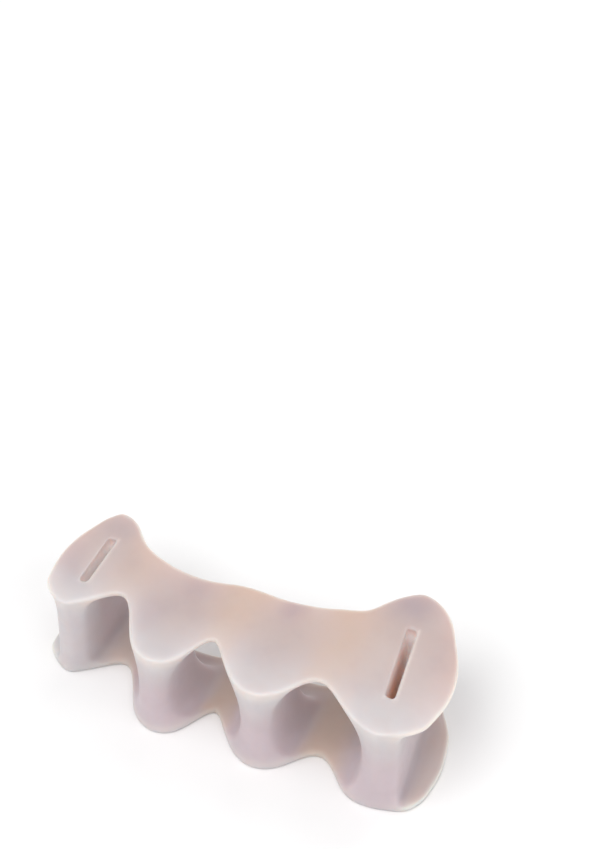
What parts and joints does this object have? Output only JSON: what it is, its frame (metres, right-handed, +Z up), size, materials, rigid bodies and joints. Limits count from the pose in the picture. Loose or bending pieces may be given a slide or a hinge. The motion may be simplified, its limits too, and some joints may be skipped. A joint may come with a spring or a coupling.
{
  "type": "toe separator",
  "caption": "Soft moulded toe spacer: a waved top band and a flat sole band joined by posts that sit between the toes, with slotted end lobes and open end cradles.",
  "frame": {"origin": "middle of the footprint, on the surface that the sole band stands on", "axes": "+X from the little toe's end to the big toe's end, -Y the way the toes point, +Z up from the sole band to the top band"},
  "size_m": [0.077, 0.0328, 0.0241],
  "materials": {
    "milky_silicone": "milky translucent silicone, satin frosted"
  },
  "bodies": {
    "root": {"separator_body": "milky_silicone"}
  },
  "joints": []
}
